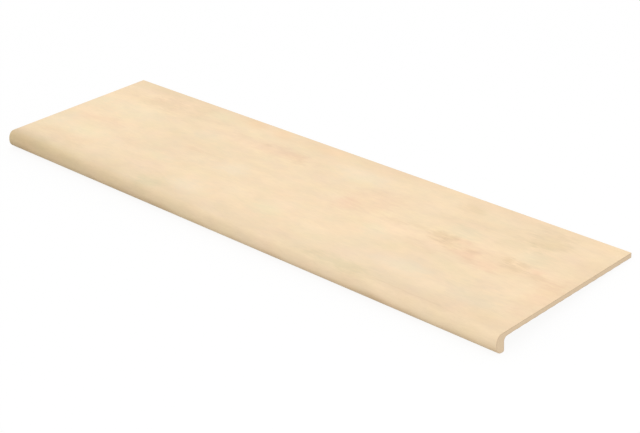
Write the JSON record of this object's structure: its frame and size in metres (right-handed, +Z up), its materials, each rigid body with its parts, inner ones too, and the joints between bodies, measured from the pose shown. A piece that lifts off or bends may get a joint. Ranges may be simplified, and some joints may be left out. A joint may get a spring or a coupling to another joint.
{
  "type": "bullnose stair tread tile",
  "caption": "Long pale wood-look tile for a stair tread: a flat slab whose front edge is rounded over into a thicker nose that turns down over the riser.",
  "frame": {"origin": "middle of the base of the bounding box, on the level floor that the tile lies on", "axes": "+X along the length of the nose, +Y from the nose to the rear edge, +Z up; the walking face leans back 4.25 degrees, because the tile rests on its toe and its rear lower edge"},
  "size_m": [1.2, 0.3404, 0.0331],
  "materials": {
    "fired_body": "pale wood-look matt to satin printed glaze on a fired stoneware body of the same hue"
  },
  "bodies": {
    "root": {"bullnose_tile": "fired_body"}
  },
  "joints": []
}
